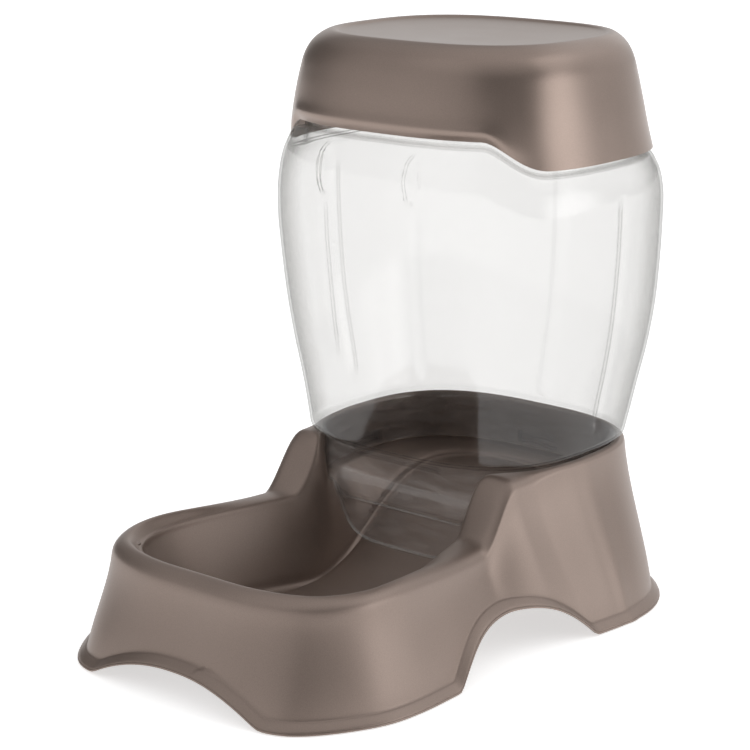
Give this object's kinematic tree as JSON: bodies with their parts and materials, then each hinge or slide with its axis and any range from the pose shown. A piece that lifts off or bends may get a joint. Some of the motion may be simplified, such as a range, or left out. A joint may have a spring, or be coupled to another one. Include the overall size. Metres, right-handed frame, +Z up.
{
  "type": "gravity pet feeder",
  "caption": "Gravity pet feeder: a moulded base with a front bowl, a clear lift-out hopper that drops dry food down a chute, and a lift-off lid.",
  "frame": {"origin": "middle of the bounding box's underside, on the plane the feet stand on", "axes": "+Z up; -Y is the front, where the bowl is; +X is to the right as seen from the front"},
  "size_m": [0.248, 0.3504, 0.3328],
  "materials": {
    "pearl_base": "satin pearl taupe, fine moulded grain",
    "clear_hopper": "clear, glossy",
    "pearl_lid": "satin pearl taupe, fine moulded grain",
    "rubber": "matt"
  },
  "bodies": {
    "base": {"base": "pearl_base", "foot_front_left": "rubber", "foot_front_right": "rubber", "foot_rear_left": "rubber", "foot_rear_right": "rubber"},
    "hopper": {"hopper": "clear_hopper"},
    "lid": {"lid": "pearl_lid"}
  },
  "joints": [
    {"name": "hopper_lift", "type": "slide", "parent": "base", "child": "hopper", "axis": [0, 0, 1], "range_m": [0, 0.12]},
    {"name": "lid_lift", "type": "slide", "parent": "hopper", "child": "lid", "axis": [0, 0, 1], "range_m": [0, 0.1]}
  ]
}
